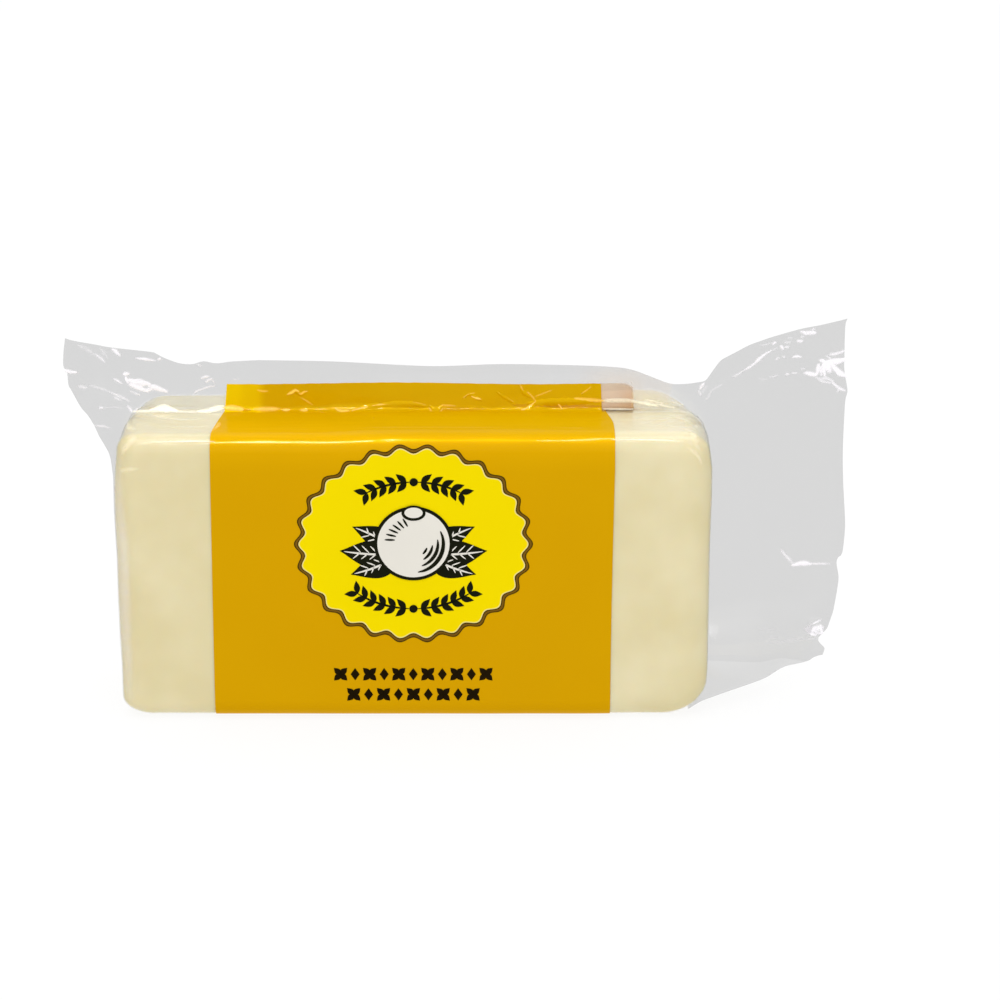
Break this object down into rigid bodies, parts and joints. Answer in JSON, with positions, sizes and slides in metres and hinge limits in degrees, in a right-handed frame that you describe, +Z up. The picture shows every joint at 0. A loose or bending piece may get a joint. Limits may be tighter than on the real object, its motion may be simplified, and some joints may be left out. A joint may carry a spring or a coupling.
{
  "type": "vacuum-packed buffalo mozzarella bar",
  "caption": "Rectangular bar of pale buffalo mozzarella sealed in a clear vacuum bag with a wide amber printed band, a top fin, a loose flap at one end and a small corner ear.",
  "frame": {"origin": "middle of the bar's flat underside, where the pack stands on its long narrow side", "axes": "+X along the bar towards the loose flap, +Y from the printed front to the back, +Z up through the fin"},
  "size_m": [0.1933, 0.0508, 0.0937],
  "materials": {
    "film_on_cheese": "smooth ivory cheese under tight glossy clear film",
    "cheese": "moist, smooth, pale ivory pasta-filata cheese with a soft sheen",
    "clear_film": "clear glossy multilayer packing film, slightly grey where two sheets lie together",
    "printed_film": "glossy film printed opaque amber with a bright yellow seal and dark marks"
  },
  "bodies": {
    "root": {"sealed_pack": "film_on_cheese"}
  },
  "joints": []
}
